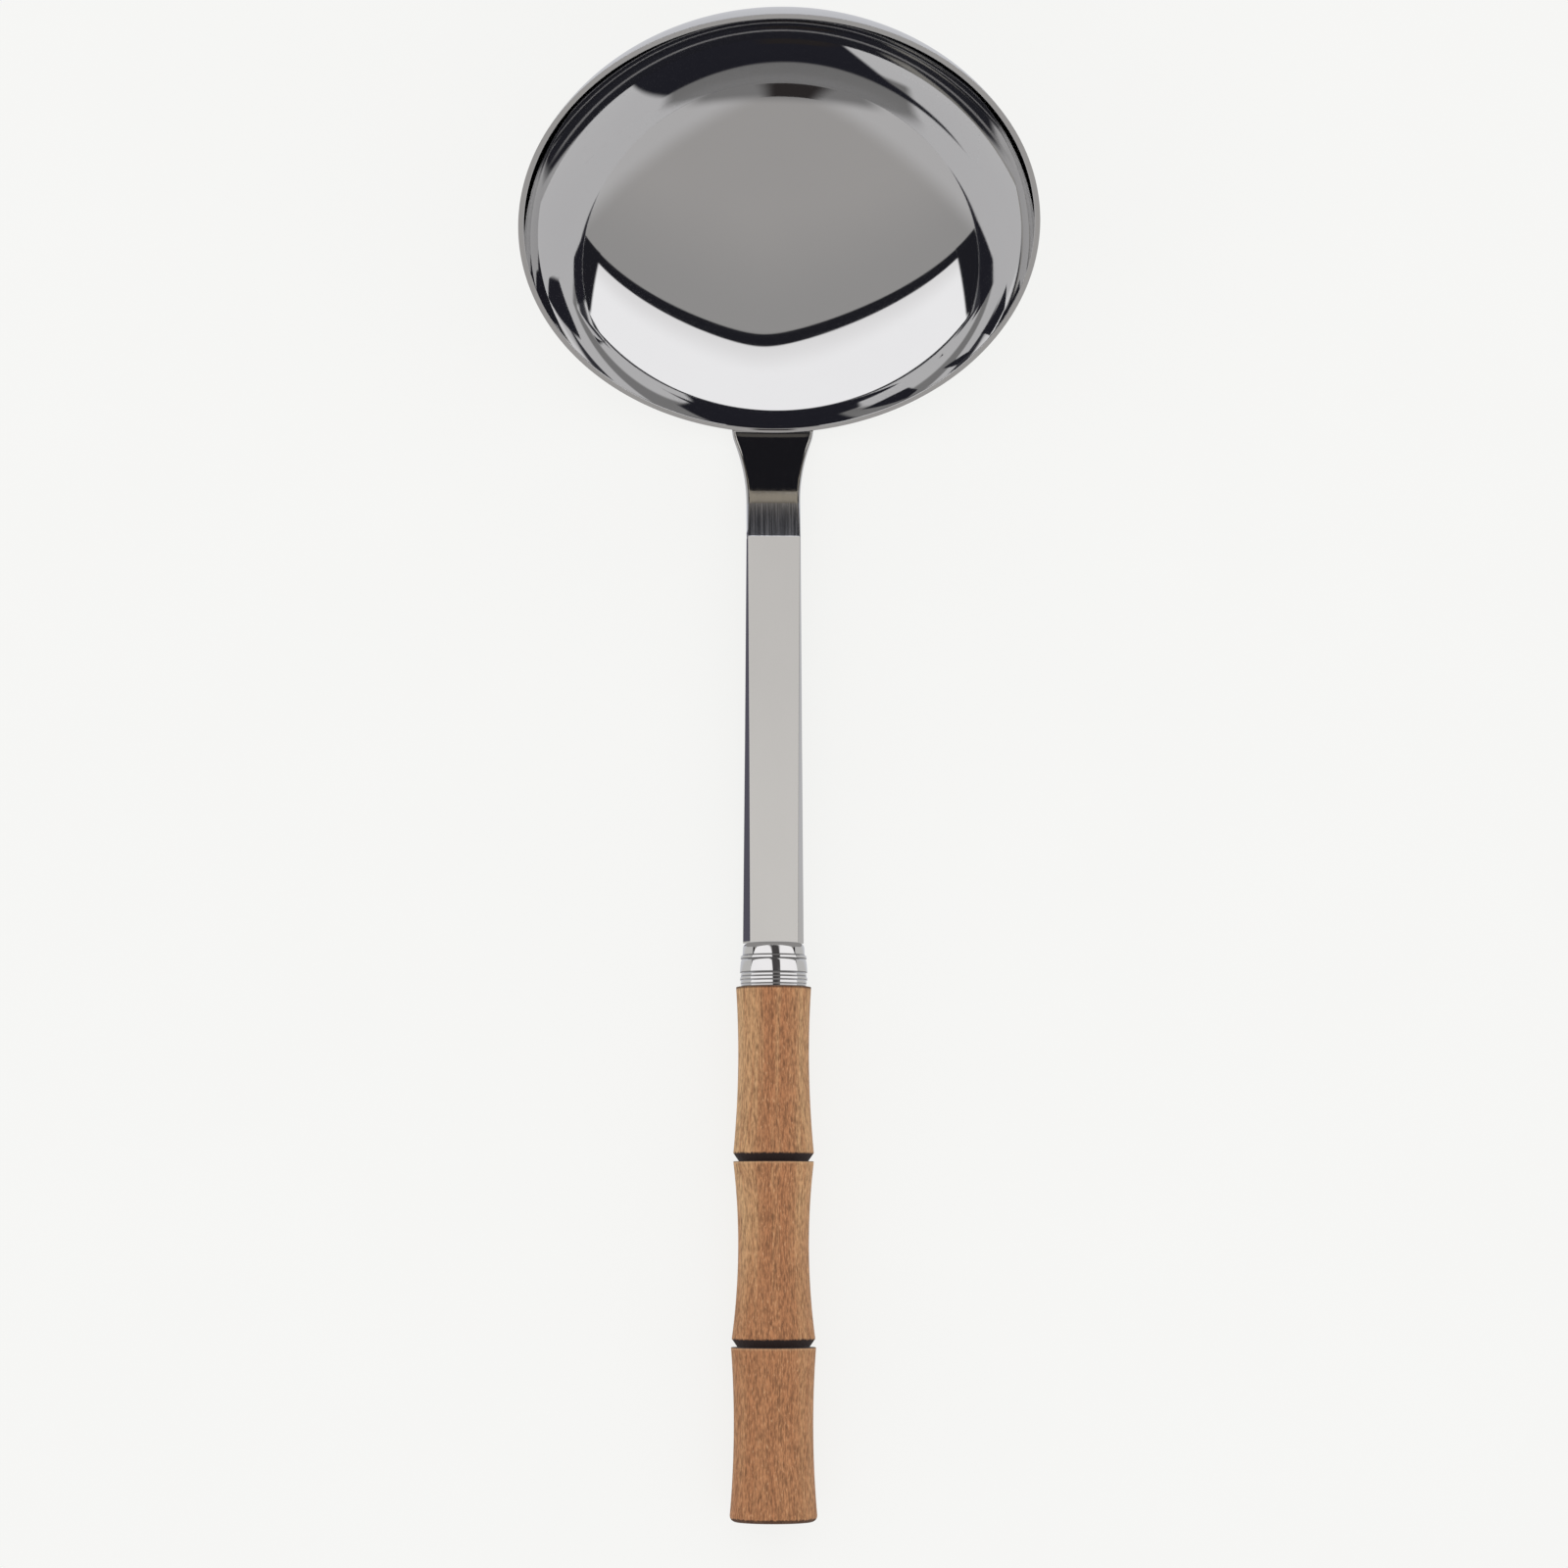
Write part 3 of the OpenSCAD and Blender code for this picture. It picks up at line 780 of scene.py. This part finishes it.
panels = blended(tree, ramped(tree, gap, 0.019, 0.025), panels, white_panel)
panels = blended(tree, ramped(tree, end_wall_edge, 0.33, 0.337), panels, end_wall_look)
to_far_end = ramped(tree, ahead, 0.3, 0.7)
beyond = ramped(tree, total(tree, up, product(tree, to_far_end, 0.2)), 0.09, 0.04)
beyond = product(tree, ramped(tree, gap, -0.03, -0.02), beyond)
panels = blended(tree, beyond, panels, blended(tree, to_far_end, (0.575, 0.565, 0.555), (0.62, 0.625, 0.655)))
dark_ends = product(tree, ramped(tree, off_side, 0.853, 0.874), ramped(tree, gap, -0.03, -0.02),
                    ramped(tree, ahead, 0.01, -0.03), ramped(tree, up, -0.2, -0.14))
panels = blended(tree, dark_ends, panels, dark)
under_rim = product(tree, ramped(tree, ahead, -1.24, -1.4), ramped(tree, off_side, 0.75, 0.55))
panels = blended(tree, under_rim, panels, (0.22, 0.216, 0.216))
path = added(tree, "ShaderNodeLightPath")
again = ramped(tree, path.outputs["Glossy Depth"], 1.4, 1.6)
lean = total(tree, side, 0.03)
wedge = total(tree, worked(tree, "ABSOLUTE", lean), product(tree, ahead, 0.5))
centre_grey = blended(tree, ramped(tree, ahead, -0.55, -0.22), (0.25, 0.246, 0.244), (0.295, 0.29, 0.29))
wedge = product(tree, ramped(tree, wedge, 0.005, -0.03), ramped(tree, ahead, -0.7, -0.62))
seen_twice = blended(tree, wedge, (0.745, 0.737, 0.742), centre_grey)
arch = worked(tree, "SUBTRACT", ahead, product(tree, lean, lean, 2.6))
right_edge = total(tree, side, product(tree, ahead, 0.94))
left_edge = total(tree, side, product(tree, worked(tree, "MAXIMUM", ahead, -0.6), 0.375))
low_south = product(tree, ramped(tree, arch, -0.575, -0.62), ramped(tree, right_edge, -0.225, -0.26),
                    ramped(tree, left_edge, -0.5, -0.472), ramped(tree, side, -0.34, -0.315))
seen_twice = blended(tree, low_south, seen_twice, card_black)
overhead = product(tree, ramped(tree, gap, -0.046, -0.03), ramped(tree, off_side, 0.34, 0.28))
seen_twice = blended(tree, overhead, seen_twice, (0.05, 0.05, 0.06))
seen_twice = blended(tree, ramped(tree, gap, 0.02, 0.05), seen_twice, white_panel)
panels = blended(tree, again, panels, seen_twice)
left_limit = worked(tree, "SUBTRACT", product(tree, side, 0.9), ahead)
right_limit = total(tree, product(tree, side, -0.53), product(tree, ahead, -1.0))
dark_middle = product(tree, ramped(tree, left_limit, 0.0, 0.06), ramped(tree, right_limit, 0.085, 0.13))
seen_thrice = blended(tree, dark_middle, (0.66, 0.65, 0.65), (0.028, 0.028, 0.036))
cream_line = total(tree, worked(tree, "SUBTRACT", side, product(tree, ahead, 0.178)), 0.132)
cream_line = product(tree, ramped(tree, worked(tree, "ABSOLUTE", cream_line), 0.05, 0.02, 0, 0.75),
                     ramped(tree, ahead, -0.62, -0.5))
seen_thrice = blended(tree, cream_line, seen_thrice, (0.5, 0.48, 0.44))
from_ring_centre = distance(tree, total(tree, ahead, 0.39), side)
off_ring = worked(tree, "ABSOLUTE", worked(tree, "SUBTRACT", from_ring_centre, 0.395))
pale_ring = product(tree, ramped(tree, off_ring, 0.05, 0.012, 0, 0.75), ramped(tree, ahead, -0.3, -0.42))
seen_thrice = blended(tree, pale_ring, seen_thrice, (0.42, 0.41, 0.41))
panels = blended(tree, ramped(tree, path.outputs["Glossy Depth"], 2.4, 2.6), panels, seen_thrice)
light = blended(tree, path.outputs["Is Glossy Ray"], (1.0, 1.0, 0.995), panels)
tree.links.new(light, backdrop.inputs["Color"])
backdrop.inputs["Strength"].default_value = 1
bpy.context.scene.view_settings.view_transform = "Standard"


# Camera: an assumed 100 mm lens nearly straight above the ladle, a little towards the butt and to
# the left.
camera_distance = 0.8396
camera_data = bpy.data.cameras.new("camera")
camera_data.lens = 100
camera_data.sensor_width = 36
camera = bpy.data.objects.new("camera", camera_data)
bpy.context.scene.collection.objects.link(camera)
aim = Vector((2.0, 1.5, 8.1)) * MM
stand = Vector((-0.03488, -0.10273, 0.99410)).normalized()
rightwards = Vector((0, 1, 0)).cross(stand).normalized()
upwards = stand.cross(rightwards)
rows = []
for axis in range(3):
    rows.append((rightwards[axis], upwards[axis], stand[axis], aim[axis] + camera_distance * stand[axis]))
camera.matrix_world = Matrix(rows + [(0, 0, 0, 1)])
bpy.context.scene.camera = camera
